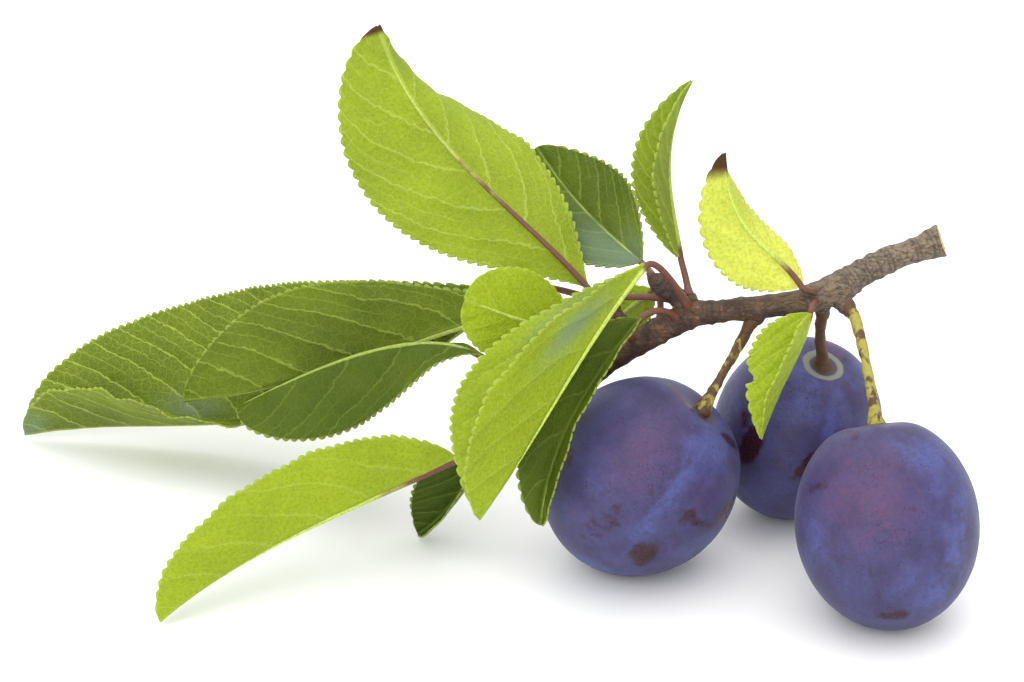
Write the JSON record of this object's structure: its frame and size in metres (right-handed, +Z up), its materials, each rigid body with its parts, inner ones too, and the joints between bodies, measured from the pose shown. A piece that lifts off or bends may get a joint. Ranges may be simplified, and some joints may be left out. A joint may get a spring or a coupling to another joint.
{
  "type": "plum sprig",
  "caption": "Cut sprig of a plum tree with ripe blue plums and green leaves, lying on a surface on its fruit and leaf tips.",
  "frame": {"origin": "on the surface that the sprig lies on, under the middle of its bounding box", "axes": "+X towards the cut end of the twig, +Z up from the surface"},
  "size_m": [0.2132, 0.1108, 0.1084],
  "materials": {
    "plum_skin": "blue-violet plum skin with a pale waxy bloom",
    "bark": "rough grey-brown bark",
    "stalk_skin": "smooth green-brown fruit stalk",
    "leaf_green": "green leaf, satin above and matt below"
  },
  "bodies": {
    "root": {"twig": "bark", "plum_left": "plum_skin", "plum_back": "plum_skin", "plum_front": "plum_skin", "stalk_left": "stalk_skin", "stalk_back": "stalk_skin", "stalk_front": "stalk_skin", "leaf_tall": "leaf_green", "leaf_dark": "leaf_green", "leaf_folded_up": "leaf_green", "leaf_hook": "leaf_green", "leaf_over_plum": "leaf_green", "leaf_round": "leaf_green", "leaf_front": "leaf_green", "leaf_beside_plum": "leaf_green", "leaf_long": "leaf_green", "leaf_keel": "leaf_green", "leaf_shiny": "leaf_green", "leaf_low": "leaf_green", "leaf_small": "leaf_green", "leaf_inner": "leaf_green"}
  },
  "joints": []
}
